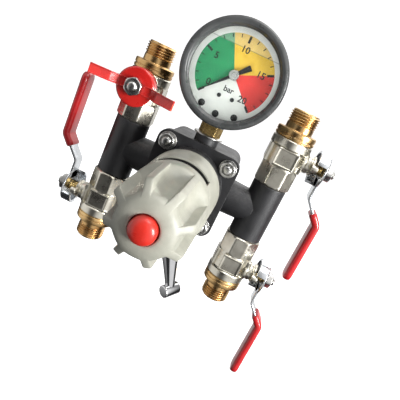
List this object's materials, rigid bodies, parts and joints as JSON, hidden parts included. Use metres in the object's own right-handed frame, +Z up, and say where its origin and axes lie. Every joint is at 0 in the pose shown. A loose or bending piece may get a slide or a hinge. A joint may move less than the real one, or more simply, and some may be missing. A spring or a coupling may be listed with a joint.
{
  "type": "pressure reducing valve",
  "caption": "Spring-loaded pressure regulating valve with a ribbed handwheel, bypass lever, two outlet manifolds with ball valves and a round gauge.",
  "frame": {"origin": "centre of the bypass port on the rear mounting face", "axes": "+Z up along the manifolds, -Y along the handwheel axis towards the operator, +X to the operator's right"},
  "size_m": [0.2002, 0.1606, 0.2443],
  "materials": {
    "black_casting": "satin black enamel on cast aluminium",
    "zinc_steel": "bright zinc plating",
    "nickel": "satin nickel plating on forged brass",
    "brass": "machined brass",
    "chrome": "bright chrome plating",
    "stainless": "turned stainless steel",
    "rubber": "moulded rubber",
    "grey_plastic": "moulded warm grey plastic",
    "red_plastic": "moulded red plastic",
    "red_paint": "red enamel on pressed steel",
    "red_sleeve": "dipped red plastic",
    "white_seal": "white fluoropolymer",
    "black_plastic": "moulded black plastic",
    "glass": "clear window",
    "dial": "printed dial plate",
    "spring_steel": "spring steel wire"
  },
  "bodies": {
    "root": {"valve_body": "black_casting", "front_cover": "black_casting", "studs": "zinc_steel", "washers": "zinc_steel", "cover_nuts": "zinc_steel", "seat_ring": "stainless", "diaphragm": "rubber", "bonnet": "grey_plastic", "left_manifold": "black_casting", "right_manifold": "black_casting", "ball_seats": "white_seal", "gauge_washer": "zinc_steel", "gauge_connector": "brass", "gauge_case": "black_plastic", "fill_plug": "rubber", "gauge_bezel": "black_plastic", "gauge_glass": "glass", "gauge_dial": "dial", "bourdon_tube": "brass", "spring": "spring_steel", "upper_left_valve_case": "nickel", "upper_left_outlet_end": "brass", "lower_left_valve_case": "nickel", "lower_left_outlet_end": "brass", "upper_right_valve_case": "nickel", "upper_right_outlet_end": "brass", "lower_right_valve_case": "nickel", "lower_right_outlet_end": "brass"},
    "upper_left_lever": {"upper_left_ball": "chrome", "upper_left_stem": "brass", "upper_left_handle": "red_paint", "upper_left_handle_nut": "chrome"},
    "lower_left_lever": {"lower_left_ball": "chrome", "lower_left_stem": "brass", "lower_left_handle": "chrome", "lower_left_handle_nut": "chrome", "lower_left_grip": "red_sleeve"},
    "upper_right_lever": {"upper_right_ball": "chrome", "upper_right_stem": "brass", "upper_right_handle": "chrome", "upper_right_handle_nut": "chrome", "upper_right_grip": "red_sleeve"},
    "lower_right_lever": {"lower_right_ball": "chrome", "lower_right_stem": "brass", "lower_right_handle": "chrome", "lower_right_handle_nut": "chrome", "lower_right_grip": "red_sleeve"},
    "handwheel": {"handwheel": "grey_plastic", "red_cap": "red_plastic", "knob_insert": "brass"},
    "adjusting_screw": {"adjusting_screw": "zinc_steel"},
    "bypass_lever": {"bypass_lever": "chrome", "lever_head": "chrome", "cam_ring": "black_plastic"},
    "spring_cup": {"spring_cup": "zinc_steel"},
    "poppet": {"poppet": "stainless", "diaphragm_plate": "brass"},
    "gauge_pointer": {"gauge_pointer": "black_plastic"}
  },
  "joints": [
    {"name": "upper_left_lever_turn", "type": "hinge", "parent": "root", "child": "upper_left_lever", "pos_m": [-0.055, -0.03, 0.046], "axis": [0, -1, 0], "range_deg": [-90, 0]},
    {"name": "lower_left_lever_turn", "type": "hinge", "parent": "root", "child": "lower_left_lever", "pos_m": [-0.055, -0.03, -0.046], "axis": [-1, 0, 0], "range_deg": [-90, 0]},
    {"name": "upper_right_lever_turn", "type": "hinge", "parent": "root", "child": "upper_right_lever", "pos_m": [0.055, -0.03, 0.046], "axis": [1, 0, 0], "range_deg": [-90, 0]},
    {"name": "lower_right_lever_turn", "type": "hinge", "parent": "root", "child": "lower_right_lever", "pos_m": [0.055, -0.03, -0.046], "axis": [1, 0, 0], "range_deg": [-90, 0]},
    {"name": "handwheel_turn", "type": "hinge", "parent": "root", "child": "handwheel", "pos_m": [0, -0.12, 0], "axis": [0, 1, 0], "range_deg": [-720, 720]},
    {"name": "screw_travel", "type": "slide", "parent": "root", "child": "adjusting_screw", "axis": [0, 1, 0], "range_m": [-0.0031, 0.0031]},
    {"name": "bypass_turn", "type": "hinge", "parent": "root", "child": "bypass_lever", "pos_m": [0, -0.0966, 0], "axis": [0, 1, 0], "range_deg": [0, 45]},
    {"name": "spring_cup_travel", "type": "slide", "parent": "root", "child": "spring_cup", "axis": [0, 1, 0], "range_m": [0, 0.0036], "deforming": ["spring"]},
    {"name": "poppet_lift", "type": "slide", "parent": "root", "child": "poppet", "axis": [0, -1, 0], "range_m": [0, 0.0025], "stiffness_N_per_m": 3000, "springref_m": -0.001, "deforming": ["spring", "diaphragm"]},
    {"name": "pointer_turn", "type": "hinge", "parent": "root", "child": "gauge_pointer", "pos_m": [0, -0.05, 0.079], "axis": [0, 1, 0], "range_deg": [0, 270], "stiffness_Nm_per_rad": 0.0005, "springref_deg": -5.73}
  ],
  "couplings": [
    {"joint": "screw_travel", "follows": "handwheel_turn", "m_per_rad": 0.00023873},
    {"joint": "spring_cup_travel", "follows": "bypass_turn", "m_per_rad": 0.0044563}
  ]
}
